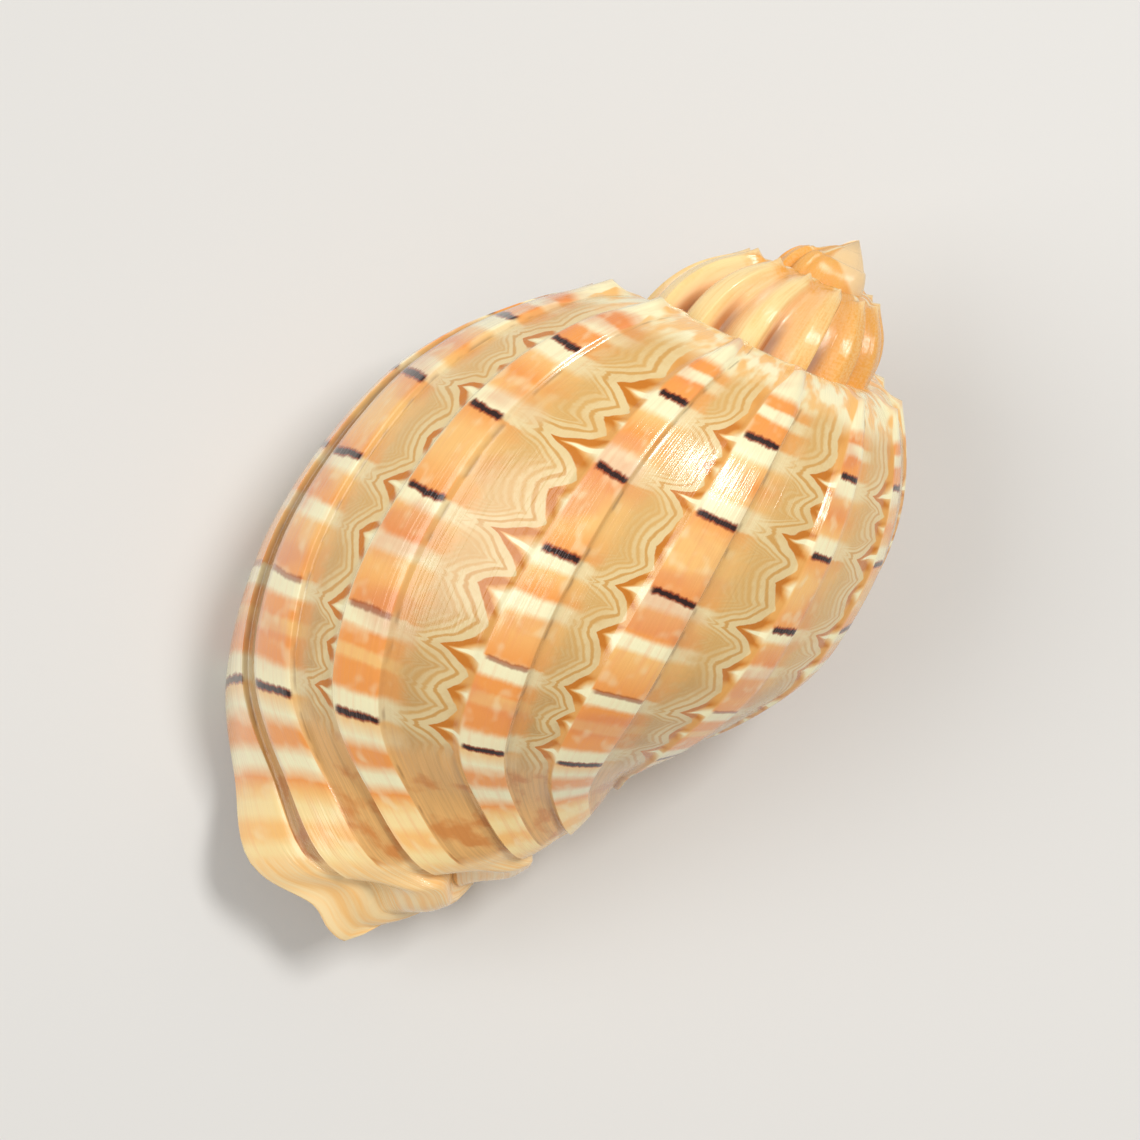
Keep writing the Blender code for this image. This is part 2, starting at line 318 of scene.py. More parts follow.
def columns_of_one_whorl():
    """Places along the last whorl, closer together on the flanks of the ribs, the oldest first."""
    before = np.linspace(-0.5, -RIB_HALF - RIB_STEEP, COLUMNS_BEFORE)[:-1]
    steep = np.linspace(-RIB_HALF - RIB_STEEP, -RIB_HALF, COLUMNS_STEEP)[:-1]
    flat = np.linspace(-RIB_HALF, RIB_HALF, COLUMNS_FLAT)
    gentle = np.linspace(RIB_HALF, RIB_HALF + RIB_GENTLE, COLUMNS_GENTLE)[1:]
    after = np.linspace(RIB_HALF + RIB_GENTLE, 0.5, COLUMNS_AFTER)[1:-1]
    spacing = np.concatenate([before, steep, flat, gentle, after])
    lip = LIP_PLACE - LIP_ROUND * (1 - np.sin(np.linspace(0, TURN / 4, COLUMNS_LIP)))
    older = [rib + spacing for rib in range(1 - RIBS_PER_WHORL, 0)]
    return np.concatenate([*older, spacing[spacing < LIP_PLACE - LIP_ROUND], lip])


def columns_of_all_whorls():
    whorl = columns_of_one_whorl()
    starts = -RIBS_PER_WHORL * np.arange(WHORLS - 1, -1, -1)
    first = starts[0] - RIBS_PER_WHORL + LIP_PLACE
    return np.concatenate([[first], *[start + whorl for start in starts]])


def sag(angle, row):
    """How far each row draws in, as the shoulder grows less proud towards the lip."""
    start, end = angle_of(LIP_SAG_START), angle_of(LIP_PLACE)
    depth = smooth_table(LIP_SAG, row) * (row < len(LIP_SAG) - 1)
    return depth * smooth_step((angle - start) / (end - start))


def rib_profile(off, row):
    """A rib across its width, from 0 beside it to 1 on its flat top. It narrows to the shoulder."""
    narrower = smooth_step((NARROWING_ROW - row) / (NARROWING_ROW - SHOULDER_ROW))
    half = RIB_HALF * (1 - SHOULDER_NARROWING * narrower)
    steep = smooth_step((off + half + RIB_STEEP) / RIB_STEEP)
    return steep * smooth_step((half + RIB_GENTLE - off) / RIB_GENTLE)


def spire_profile(past):
    """The ribs of the spire are broad folds, each dropping steeply towards the older shell."""
    return 0.5 - smooth_step((past - 0.1) / 0.58) * (1 - smooth_step((past - 0.7) / 0.16))


def shingle_profile(past):
    """The base's folds, each from the rib behind it: they rise up to a lip over the younger shell."""
    return np.maximum(0.25 + 0.75 * past ** 0.6, 1 - smooth_step(past / SHINGLE_STEP)) - 0.5


def petal_profile(past):
    """At the rim of the base they are lobes, fullest towards the spire, with notches between."""
    return 1.25 * smooth_step(past / 0.2) * (1 - 0.75 * smooth_step((past - 0.35) / 0.65)) - 0.6


def foot_profile(past):
    """The last lobe is low, and stands out at the lip as the foot's tip."""
    return 0.1 + 0.35 * smooth_step((past - 0.5) / 0.5)


def fold_of(place, ends):
    """A place counted in folds, the youngest of which end at the given places."""
    far = 60
    places = [ends[-1] - far, *ends[::-1], LIP_PLACE]
    return np.interp(place, places, [-len(ends) - far, *range(-len(ends), 1)])


def rim_of(row):
    """How far a row belongs to the rim of the base."""
    return smooth_step((row - LIP_CORNER_ROW) / RIM_ROWS)


def base_relief(place, row):
    """The folds of the base, which end in lobes at its rim."""
    fold_place = fold_of(place, [edges[1] for edges in RIB_EDGES[1:]])
    petal_place = fold_of(place, PETAL_ENDS)
    past = 1 - -petal_place % 1.0
    petal = np.where(petal_place < -1, petal_profile(past), foot_profile(past))
    shingle = SHINGLE_HEIGHT * shingle_profile(1 - -fold_place % 1.0)
    return shingle * (1 - rim_of(row)) + PETAL_HEIGHT * petal * rim_of(row)


def spire_relief(rib_place, row):
    """The folds of the spire, which grow fuller down to the suture, and its proud shoulder."""
    fuller = SPIRE_RAMP_RIB + (1 - SPIRE_RAMP_RIB) * smooth_step((row - 1) / SPIRE_RAMP_ROWS)
    shoulder = np.exp(-((row - SHOULDER_ROW) / SPIRE_SHOULDER_ROWS) ** 2)
    return SPIRE_RIB_HEIGHT * spire_profile(rib_place % 1.0) * fuller + SPIRE_SHOULDER * shoulder


def relief(rib_place, place, row):
    """How far the surface stands off the swept edge: the ribs, the folds of the base, the lip."""
    off = rib_place - np.round(rib_place)
    base = smooth_step((row - BASE_ROW) / (LIP_CORNER_ROW - BASE_ROW))
    spire = smooth_step((SPIRE_START - rib_place) / SPIRE_FADE)
    ramp = 1 - (1 - RAMP_RIB) * smooth_step((SHOULDER_ROW - row) / RAMP_ROWS)
    rib = RIB_HEIGHT * rib_profile(off, row) * (1 - spire) + spire_relief(rib_place, row) * spire
    height = rib * ramp * (1 - base) + base_relief(place, row) * base
    groove = smooth_step((rib_place + 1 - RIB_HALF) / GROOVE_SIDE)
    groove = groove * smooth_step((-RIB_HALF - rib_place) / GROOVE_SIDE)
    height = height - GROOVE_DEPTH * groove * (1 - rim_of(row))
    height = height * smooth_step((SMOOTH_START * RIBS_PER_WHORL + rib_place) / SMOOTH_FADE)
    near = np.clip((rib_place - LIP_PLACE + LIP_ROUND) / LIP_ROUND, 0, 1)
    height = height - LIP_DROP * (1 - np.sqrt(1 - near ** 2))
    return height * smooth_step((LAST_ROW - END_ROWS - row) / END_FADE_ROWS)


def tip_size(place, row):
    """The size of the oldest shell, which is smaller than the spiral alone would make it. That
    leaves a long slope above the shoulder of the next whorl."""
    def size(at):
        return 1 - TIP_SHRINK * smooth_step((TIP_SHRINK_START - at) / TIP_SHRINK_FADE)
    low = smooth_step(row / SHOULDER_ROW)
    return size(place - RIBS_PER_WHORL) * (1 - low) + size(place) * low


def spines(rib_place, row):
    """How far the surface is drawn up into a small point where each rib crosses the shoulder."""
    off = abs(rib_place - np.round(rib_place))
    sharp = np.maximum(0, 1 - off / SPINE_HALF) * np.exp(-abs(row - SHOULDER_ROW) / SPINE_ROWS)
    sharp = sharp * smooth_step((SMOOTH_START * RIBS_PER_WHORL + rib_place) / SMOOTH_SPINE_FADE)
    sharp = sharp * (1 + SPIRE_SPINE_EXTRA * smooth_step((SPIRE_START - rib_place) / SPIRE_FADE))
    return sharp[..., None] * np.array(SPINE_REACH)


def older_than(angle, start, fade):
    """0 at places younger than the start, and 1 from some ribs before it."""
    return smooth_step((angle_of(start) - angle) / (fade * RIB_ANGLE))


def foot_shift():
    """How far each row is moved where the lip ends, to draw the foot out into a tip."""
    row = np.clip(EDGE_ROW - LIP_CORNER_ROW, 0, len(FOOT_SHIFT) - 1)
    shift = smooth_table(FOOT_SHIFT, row)[:, None] * np.array(FOOT_SHIFT_REACH)
    shift[:, 2] += np.interp(row, range(len(FOOT_LIFT)), FOOT_LIFT)
    return shift


def edge_at_angle(angle):
    """The growth edge as it changes: a straight slope at first, a lower shoulder on the spire, and
    a foot drawn out into a tip at the lip."""
    start, end = angle_of(FOOT_SHIFT_START), angle_of(LIP_PLACE)
    edge = EDGE + smooth_step((angle - start) / (end - start))[..., None] * foot_shift()
    spire = older_than(angle, SPIRE_START, SPIRE_FADE)[..., None] * np.array(SPIRE_SHIFT)
    oldest = older_than(angle, OLD_SHOULDER_START, OLD_SHOULDER_FADE)[..., None]
    near = np.exp(-((EDGE_ROW - SHOULDER_ROW) / SPIRE_SHIFT_ROWS) ** 2)[:, None]
    edge = edge + near * (spire + oldest * np.array(OLD_SHOULDER_SHIFT))
    cone = older_than(angle, CONE_START, CONE_FADE)
    cone = (cone * (EDGE_ROW < NEXT_SUTURE_ROW))[..., None]
    first, last = np.array(SUTURE), np.array(NEXT_SUTURE)
    straight = first + (last - first) * (EDGE_ROW / NEXT_SUTURE_ROW)[:, None]
    return edge * (1 - cone) + straight * cone


def grid_faces(ids, us, vs):
    """Faces between the neighbouring rows and columns of a grid of points, and their corners' (u, v)."""
    faces, corners = [], []
    for i in range(len(ids) - 1):
        for j in range(len(ids[0]) - 1):
            faces.append((ids[i, j], ids[i + 1, j], ids[i + 1, j + 1], ids[i, j + 1]))
            corners.append((
                (us[i], vs[j]), (us[i + 1], vs[j]), (us[i + 1], vs[j + 1]), (us[i], vs[j + 1]),
            ))
    return faces, corners


def mesh_object(name, points, faces, corners, material_index):
    mesh = bpy.data.meshes.new(name)
    mesh.from_pydata(points.tolist(), [], [[int(corner) for corner in face] for face in faces])
    layer = mesh.uv_layers.new(name="growth")
    layer.uv.foreach_set("vector", np.array([uv for face in corners for uv in face]).ravel())
    mesh.polygons.foreach_set("material_index", [material_index] * len(mesh.polygons))
    shape = bmesh.new()
    shape.from_mesh(mesh)
    bmesh.ops.delete(shape, geom=[v for v in shape.verts if not v.link_faces], context="VERTS")
    bmesh.ops.recalc_face_normals(shape, faces=shape.faces)
    if shape.calc_volume(signed=True) < 0:
        bmesh.ops.reverse_faces(shape, faces=shape.faces)
    shape.to_mesh(mesh)
    shape.free()
    obj = bpy.data.objects.new(name, mesh)
    bpy.context.scene.collection.objects.link(obj)
    return obj


def tube(name, rings, us, material_index):
    """A closed tube through rings of points, each end closed by strips from one side to the other."""
    count = len(rings[0])
    ids = np.arange(len(rings) * count).reshape(len(rings), -1)
    around = np.concatenate([[0], np.cumsum(np.linalg.norm(np.diff(rings[0], axis=0), axis=1))])
    around = np.concatenate([around, [around[-1] + np.linalg.norm(rings[0][0] - rings[0][-1])]])
    around /= MM
    faces, corners = grid_faces(np.concatenate([ids, ids[:, :1]], axis=1), us, around)
    half = count // 2
    for end, u in ((ids[0], us[0]), (ids[-1], us[-1])):
        cap = np.array([end[:half], end[:half - 1:-1]])
        more_faces, more_corners = grid_faces(cap, [u, u], around)
        faces += more_faces
        corners += more_corners
    return mesh_object(name, np.concatenate(rings), faces, corners, material_index)


def fine(counts):
    return [count * ROW_DETAIL for count in counts]


EDGE = curve_through(EDGE_KNOTS, fine(ROWS_TO_KNOT))
EDGE_NORMALS = edge_normals(EDGE)
EDGE_ROW = np.arange(len(EDGE)) / ROW_DETAIL
EDGE_LENGTH = np.concatenate([[0], np.cumsum(np.linalg.norm(np.diff(EDGE, axis=0), axis=1))])
RIM_INDEX = LIP_CORNER_ROW * ROW_DETAIL


def coiled_surface(rib_places):
    """Points on the coiled surface, down the growth edge at each column."""
    columns = rib_places[:, None]
    places = place_of(columns, EDGE_ROW)
    angles = angle_of(places)
    heights = relief(columns, places, EDGE_ROW) - sag(angles, EDGE_ROW)
    edges = edge_at_angle(angles) + spines(columns, EDGE_ROW) + heights[..., None] * EDGE_NORMALS
    return swept(tip_size(columns, EDGE_ROW)[..., None] * edges, angles)


def face_across_mouth(rib_places, start, end):
    """Points from the growth edge one whorl back to the growth edge at the lip."""
    size = growth(angle_of(rib_places[:, None]))
    reach = (size - size[0]) / (size[-1] - size[0])
    return start + reach[..., None] * (end - start)


def numbered(grid, first):
    """The numbers of a grid's points, counted from the first."""
    return first + np.arange(grid.shape[0] * grid.shape[1]).reshape(grid.shape[:2])


def outside_of_shell():
    """The closed outer form: the coiled surface, the spire's tip, and a face across the mouth."""
    rib_places = columns_of_all_whorls()
    lip = len(rib_places) - 1
    per_whorl = lip // WHORLS
    body = lip - per_whorl
    suture = NEXT_SUTURE_ROW * ROW_DETAIL

    surface = coiled_surface(rib_places)
    ids = numbered(surface, 0)
    ids[per_whorl:, 0] = ids[:-per_whorl, suture]
    tip = ids.max() + 1
    mouth = face_across_mouth(rib_places[body:], surface[body], surface[lip])
    mouth_ids = numbered(mouth, tip + 1)
    mouth_ids[0], mouth_ids[-1], mouth_ids[:, -1] = ids[body], ids[lip], ids[body:, -1]

    faces, corners = [], []
    for grid, us, vs in (
        (ids[:, :suture + 1], rib_places, EDGE_LENGTH),
        (ids[body:, suture:], rib_places[body:], EDGE_LENGTH[suture:]),
        (mouth_ids[:, suture:], rib_places[body:], EDGE_LENGTH[suture:]),
    ):
        more_faces, more_corners = grid_faces(grid, us, vs)
        faces += more_faces
        corners += more_corners
    across_lip = [*ids[lip, :suture + 1], *mouth_ids[-2:0:-1, suture]]
    across_start = [*ids[0, :suture + 1], tip]
    faces += [across_lip, across_start]
    corners += [[(0, 0)] * len(across_lip), [(rib_places[0], 0)] * len(across_start)]
    for i in range(per_whorl):
        faces.append([ids[i, 0], ids[i + 1, 0], tip])
        corners.append([(rib_places[i], 0), (rib_places[i + 1], 0), (rib_places[i], 0)])
    tip_point = [(0, 0, -(TIP_DROP + TIP_BLUNT) * MM)]
    points = np.concatenate([surface.reshape(-1, 3), tip_point, mouth.reshape(-1, 3)])
    return mesh_object("harp_shell", points, faces, corners, OUTSIDE)


def wall_at(angle):
    """The wall's thickness, which grows towards the lip and is bevelled off at its rim."""
    behind = angle_of(LIP_PLACE) - angle
    thick = WALL + (LIP_WALL - WALL) * smooth_step(2 - behind / LIP_WALL_ANGLE)
    return thick - LIP_BEVEL * smooth_step(1 - behind / LIP_BEVEL_ANGLE)


def hollow():
    """The hollow behind the mouth, one closed tube that runs back from in front of the lip."""
    inner = curve_through(HOLLOW_KNOTS, fine(ROWS_TO_HOLLOW_KNOT))[::-1]
    used = (EDGE_ROW >= 1) & (EDGE_ROW <= HOLLOW_LAST_ROW)
    angles = np.arange(HOLLOW_START, HOLLOW_END, -HOLLOW_STEP)
    rings = []
    for angle in angles:
        depths = wall_at(angle) + sag(angle, EDGE_ROW)
        outer = (edge_at_angle(angle) - depths[:, None] * EDGE_NORMALS)[used]
        ring = np.concatenate([outer, inner])
        rings.append(swept(ring, angle))
    return tube("hollow", rings, (angles - LIP_RIB_ANGLE) / RIB_ANGLE, INSIDE)


def columella():
    """The twisted pillar that the shell coils round."""
    sides = np.arange(PILLAR_SIDES) * TURN / PILLAR_SIDES
    circle = np.stack([np.cos(sides), np.sin(sides), 0 * sides], -1)
    lip_angle = angle_of(LIP_PLACE)
    turns = np.linspace(PILLAR_TOP, lip_angle, PILLAR_RINGS)
    slim = smooth_step(1 - (lip_angle - turns) / PILLAR_SLIM_ANGLE)
    centres = np.array(PILLAR_CENTRE) - np.outer(slim, (0, 0, PILLAR_RISE))
    radii = PILLAR_RADIUS * (1 - PILLAR_SLIM * slim)
    rings = [
        swept(centre + radius * circle, angle) for centre, radius, angle in zip(centres, radii, turns)
    ]
    foot = curve_through(
        [(*centres[-1], radii[-1]), *[(*centre, radius) for centre, radius in PILLAR_FOOT]],
        [PILLAR_FOOT_RINGS] * len(PILLAR_FOOT),
    )[1:]
    rings += [swept(ring[:3] + ring[3] * circle, lip_angle) for ring in foot]
    beyond = lip_angle + PILLAR_FOOT_STEP * np.arange(1, len(foot) + 1)
    us = np.concatenate([turns, beyond]) / RIB_ANGLE
    return tube("columella", rings, us, CALLUS)


def shell_to_world():
    """Lays the shell on its mouth on Z = 0, with its back up and its spire towards +Y."""
    upright_to_lying = Matrix(((-1, 0, 0), (0, 0, 1), (0, 1, 0)))
    tilt = Euler((PITCH, ROLL, 0)).to_matrix()
    return Matrix.Translation(Vector(TIP_AT_REST) * MM) @ (tilt @ upright_to_lying).to_4x4()


def combine(obj, other, operation):
    boolean = obj.modifiers.new(operation, "BOOLEAN")
    boolean.operation = operation
    boolean.object = other
    boolean.solver = "MANIFOLD"


def apply_modifiers(obj):
    graph = bpy.context.evaluated_depsgraph_get()
    made = bpy.data.meshes.new_from_object(obj.evaluated_get(graph), depsgraph=graph)
    obj.modifiers.clear()
    obj.data = made


# Bands round the shell, by their distance down the axis on the growth edge, in millimetres.
BLACK_LINES = (21.1, 28.9, 36.8, 55.5)
BROWN_LINE = 47.3
# Where the coloured border of each rib is drawn out to a point over the younger shell: its band,
# and how far it reaches, in millimetres.
POINTS = (
    (17.5, 0.5), (21.9, 2.6), (25.0, 1.1), (28.0, 3.3), (32.6, 1.2), (37.5, 3.3), (42.0, 2.2),
    (48.0, 3.0), (51.3, 1.4), (54.6, 2.4), (58.2, 0.3), (61.0, 0.2),
)
POINT_SHARPNESS = 1.35
BORDER_WIDTH = 0.75
SLOPE_STEP = 0.3  # how far to each side the slope of the border is measured
# Where a change of colour begins, and where it is complete, by the distance down the axis:
BLOCKS_MEET = (47.15, 47.2)
SHOULDER_GROUND = (17.8, 15.2)
BASE_GROUND = (55.5, 58.0)
CALLUS_TOP = (33.0, 34.5)
# and by the place along the whorl.
SPIRE_COLOURS = (-12.4, -13.4)
SPIRE_GOLD = (-15.5, -18.5)
SPIRE_RIBS = (-25.0, -22.5)
TIP_COLOURS = (-28.0, -28.4)
CALLUS_START = (-12.9, -12.8)
CALLUS_END = (-10.3, -10.5)
RING_TO_EDGE = 0.93  # the first ring of the hollow, in front of the lip, is larger than the edge


def edge_at(down):
    """How far along the growth edge a distance down the axis is reached first."""
    return float(np.interp(down, EDGE[:RIM_INDEX, 2], EDGE_LENGTH[:RIM_INDEX]))


def base_at(part):
    """How far along the growth edge a part of the way from the last black line to the rim is."""
    return edge_at(BLACK_LINES[-1]) * (1 - part) + float(EDGE_LENGTH[RIM_INDEX]) * part


class Field:
    """A value in a material's node tree. Arithmetic on it adds the nodes that work it out."""

    def __init__(self, tree, socket):
        self.tree = tree
        self.socket = socket

    def node(self, kind, *inputs, output=0, **settings):
        made = self.tree.nodes.new(kind)
        for name, value in settings.items():
            setattr(made, name, value)
        for place, value in enumerate(inputs):
            connect(made.inputs[place], value)
        return Field(self.tree, made.outputs[output])

    def math(self, operation, *others):
        return self.node("ShaderNodeMath", self, *others, operation=operation)

    def __add__(self, other):
        return self.math("ADD", other)

    def __sub__(self, other):
        return self.math("SUBTRACT", other)

    def __rsub__(self, other):
        return self.math("MULTIPLY", -1.0).math("ADD", other)

    def __mul__(self, other):
        return self.math("MULTIPLY", other)

    def __truediv__(self, other):
        return self.math("DIVIDE", other)

    __radd__ = __add__
    __rmul__ = __mul__


def connect(socket, value):
    if isinstance(value, Field):
        value.tree.links.new(value.socket, socket)
    else:
        socket.default_value = value


def between(value, low, high):
    """0 below low, 1 above high, and smooth in between; the other way round if low is higher."""
    made = value.node("ShaderNodeMapRange", value, interpolation_type="SMOOTHSTEP")
    node = made.socket.node
    if low > high:
        low, high, ends = high, low, (1.0, 0.0)
    else:
        ends = (0.0, 1.0)
    for socket, number in zip(node.inputs[1:5], (low, high, *ends)):
        socket.default_value = number
    return made


def down_between(along, low, high):
    """The same between two distances down the axis."""
    return between(along, edge_at(low), edge_at(high))


def mixed(factor, first, second):
    """The first of two colours where the factor is 0, and the second where it is 1."""
    owner = next(value for value in (factor, first, second) if isinstance(value, Field))
    made = owner.node("ShaderNodeMix", data_type="RGBA", output=2)
    for place, value in ((0, factor), (6, first), (7, second)):
        connect(made.socket.node.inputs[place], value)
    return made


def ramp(value, stops, low, high):
    """Colours by value, from stops of (value, colour)."""
    made = value.node("ShaderNodeValToRGB", (value - low) / (high - low))
    colours = made.socket.node.color_ramp
    while len(colours.elements) < len(stops):
        colours.elements.new(0.5)
    for element, (at, colour) in zip(colours.elements, stops):
        element.position = (at - low) / (high - low)
        element.color = colour
    return made


def table(value, pairs, low, high, scale):
    """A number by value, from pairs of (value, number) with no number above the scale."""
    made = ramp(value, [(at, (number / scale,) * 3 + (1,)) for at, number in pairs], low, high)
    return made * scale


def noise(x, y, scale_x, scale_y, detail=2.0, seed=0.0):
    """Smooth noise from 0 to 1 over (x, y), another one for each seed."""
    made = x.node("ShaderNodeTexNoise")
    node = made.socket.node
    at = x.node("ShaderNodeCombineXYZ", x * scale_x, y * scale_y, seed)
    connect(node.inputs["Vector"], at)
    node.inputs["Scale"].default_value = 1.0
    node.inputs["Detail"].default_value = detail
    return Field(made.tree, node.outputs[0])


def rgb(red, green, blue):
    """A colour given as screen values up to 255, as Blender's linear numbers."""
    return tuple(
        (part / 255 / 12.92 if part <= 10 else ((part / 255 + 0.055) / 1.055) ** 2.4)
        for part in (red, green, blue)
    ) + (1.0,)


CREAM = rgb(255, 246, 200)
ORANGE = rgb(250, 162, 78)
PEACH = rgb(254, 198, 120)
PINK = rgb(244, 156, 104)
ROSE = rgb(226, 132, 88)
TAN = rgb(222, 176, 104)
GREY_TAN = rgb(196, 152, 92)
PALE = rgb(238, 216, 162)
OLIVE = rgb(214, 160, 84)
BORDER = rgb(232, 168, 88)
BROWN = rgb(206, 122, 28)
# Painted shade for the creases at the foot of the ribs and in the groove by the lip.
CREASE_SHADE = rgb(96, 50, 20)
BLACK = rgb(44, 10, 2)
RED_BROWN = rgb(150, 56, 12)
GOLD = rgb(244, 172, 74)
GOLD_PALE = rgb(255, 226, 160)
# Painted shade for the pockets of the spire's folds.
MAUVE_SHADE = rgb(176, 138, 118)
SALMON = rgb(254, 206, 152)
TIP_TAN = rgb(252, 214, 156)
FASCIOLE = rgb(255, 200, 124)
BASE_BROWN = rgb(236, 180, 108)
GLAZE = rgb(250, 226, 188)
CHESTNUT = rgb(112, 52, 24)
BLOTCH = rgb(204, 118, 40)
FLOOR_GREY = rgb(222, 220, 216)

# The blocks along each rib, by the distance down the axis where each colour is reached:
UPPER_BLOCKS = (
    (14.0, PEACH), (15.2, CREAM), (16.6, CREAM), (17.2, ORANGE), (17.9, ORANGE), (18.2, CREAM),
    (18.9, CREAM), (19.3, ORANGE), (20.9, ORANGE), (21.2, CREAM), (22.6, CREAM), (23.2, PEACH),
    (25.0, ORANGE), (26.6, PEACH), (27.2, CREAM), (28.8, CREAM), (29.0, ORANGE), (31.0, PEACH),
    (33.5, PEACH), (36.6, ORANGE), (36.9, CREAM), (38.0, CREAM), (38.6, PEACH), (40.8, ORANGE),
    (41.3, CREAM), (42.3, CREAM), (42.9, PEACH), (47.1, ORANGE),
)
LOWER_BLOCKS = (
    (47.1, ORANGE), (47.4, CREAM), (48.6, CREAM), (49.1, ORANGE), (50.3, ORANGE), (50.7, PEACH),
    (51.4, PEACH), (51.8, ORANGE), (53.6, ORANGE), (54.1, CREAM), (55.4, CREAM), (55.7, PEACH),
)
# and by the part of the way from the last black line to the rim.
BASE_BLOCKS = (
    (0.12, CREAM), (0.2, ORANGE), (0.28, ORANGE), (0.35, CREAM), (0.4, CREAM), (0.48, ORANGE),
    (0.54, PEACH), (0.61, GOLD_PALE), (0.67, GOLD_PALE), (0.73, PEACH), (0.79, PEACH),
    (0.85, GOLD_PALE), (0.9, GOLD_PALE), (0.98, FASCIOLE),
)
# The lines between two ribs, by their distance from the border.
LINES = (
    (0.0, PALE), (0.62, PALE), (0.76, OLIVE), (0.98, OLIVE), (1.12, PALE), (1.5, PALE),
    (1.7, TAN), (1.85, TAN), (2.05, PALE), (2.3, PALE), (2.5, TAN), (2.7, TAN), (2.95, PALE),
    (3.25, TAN), (3.6, PALE), (3.95, TAN), (4.3, PALE), (4.7, TAN), (5.1, PALE), (5.5, TAN),
    (6.0, TAN),
)


def new_material(name):
    material = bpy.data.materials.new(name)
    material.use_nodes = True
    tree = material.node_tree
    shader = tree.nodes["Principled BSDF"]
    growth_map = tree.nodes.new("ShaderNodeUVMap")
    growth_map.uv_map = "growth"
    split = tree.nodes.new("ShaderNodeSeparateXYZ")
    tree.links.new(growth_map.outputs[0], split.inputs[0])
    return material, shader, Field(tree, split.outputs[0]), Field(tree, split.outputs[1])


def add_bump(material, shader, height):
    """Fine growth lines, up to a tenth of a millimetre high."""
    bump = material.node_tree.nodes.new("ShaderNodeBump")
    bump.inputs["Strength"].default_value = 0.4
    bump.inputs["Distance"].default_value = 0.1 * MM
    connect(bump.inputs["Height"], height)
    for name in ("Normal", "Coat Normal"):
        material.node_tree.links.new(bump.outputs[0], shader.inputs[name])


class Marks:
    """Where a point of the outside lies, and the noises that its markings share."""

    def __init__(self, place, along):
        self.place = place
        self.along = along
        self.off = place - place.math("ROUND")  # from the middle of the nearest rib
        self.past = place.math("FRACT")  # from the middle of the next older rib
        self.warp = noise(place, along, 2.6, 0.28, detail=1.0, seed=3.0) - 0.5
        self.fine = noise(place, along, 14.0, 1.6, detail=2.0, seed=6.0) - 0.5
        self.ragged = noise(place, along, 34.0, 0.8, detail=2.0, seed=9.0) - 0.5
        self.streak = noise(place, along, 26.0, 0.12, detail=3.0, seed=5.0)
        self.patch = noise(place, along, 9.0, 0.5, detail=1.0, seed=8.0)
        self.band_at = along + self.warp * 0.9 + self.ragged * 0.3


def rib_colours(marks):
    """The blocks along each rib, cream beside the black lines and orange to peach between them."""
    start, end = edge_at(LOWER_BLOCKS[0][0]), float(EDGE_LENGTH[-1])
    upper = [(0, PEACH), *[(edge_at(down), colour) for down, colour in UPPER_BLOCKS]]
    lower = [(edge_at(down), colour) for down, colour in LOWER_BLOCKS]
    lower += [(base_at(part), colour) for part, colour in BASE_BLOCKS]
    upper = ramp(marks.band_at, upper, 0.0, edge_at(BROWN_LINE))
    lower = ramp(marks.band_at, [*lower, (end, FASCIOLE)], start, end)
    colour = mixed(down_between(marks.band_at, *BLOCKS_MEET), upper, lower)
    colour = mixed(between(marks.streak, 0.45, 0.8) * 0.3, colour, PINK)
    cloud = noise(marks.place, marks.along, 0.9, 0.16, detail=2.0, seed=17.0)
    rosy = between(cloud, 0.5, 0.62) * down_between(marks.band_at, 56.0, 50.0)
    colour = mixed(rosy * 0.45, colour, ROSE)
    return mixed(between(marks.patch, 0.5, 0.75) * 0.35, colour, CREAM)


def gap_width(along):
    """How wide the ground between two ribs is, in millimetres."""
    radii = zip(EDGE_LENGTH[::ROW_DETAIL], EDGE[::ROW_DETAIL, 0])
    widths = [(length, GAP * RIB_ANGLE * radius) for length, radius in radii if radius > 0]
    return table(along, widths, 0.0, float(EDGE_LENGTH[-1]), scale=12)


def border_front(along, stretch):
    """How far out each rib's coloured border comes, in millimetres. It is drawn out into points."""
    last = float(EDGE_LENGTH[-1])
    spots = [edge_at(down) for down, _ in POINTS]
    counts = [(0, 0), *[(spot, i + 1) for i, spot in enumerate(spots)], (last, len(spots) + 2)]
    counted = table(along, counts, 0.0, last, scale=20)
    apart = (counted - counted.math("ROUND")).math("ABSOLUTE") * 2
    reach = [(0, 0.1), *[(spot, far) for spot, (_, far) in zip(spots, POINTS)], (last, 0.1)]
    front = table(along, reach, 0.0, last, scale=4)
    return front * stretch * (1 - apart).math("POWER", POINT_SHARPNESS)


def border_of_rib(marks, gap):
    """How far out the border comes here, and how far in front of it a point of the ground lies."""
    stretch = noise(marks.place.math("FLOOR"), marks.along, 7.3, 0.22, detail=0.0, seed=2.0)
    stretch = stretch * 0.7 + 0.65
    bent = marks.along + marks.warp * 2.2
    front = border_front(bent, stretch)
    slope = border_front(bent + SLOPE_STEP, stretch) - border_front(bent - SLOPE_STEP, stretch)
    slope = slope / (2 * SLOPE_STEP)
    width = BORDER_WIDTH + marks.warp * 0.8
    away = gap * gap_width(marks.along) - width - front
    away = away / (1 + slope * slope * 0.6).math("SQRT")
    return front, away + marks.fine * 0.25


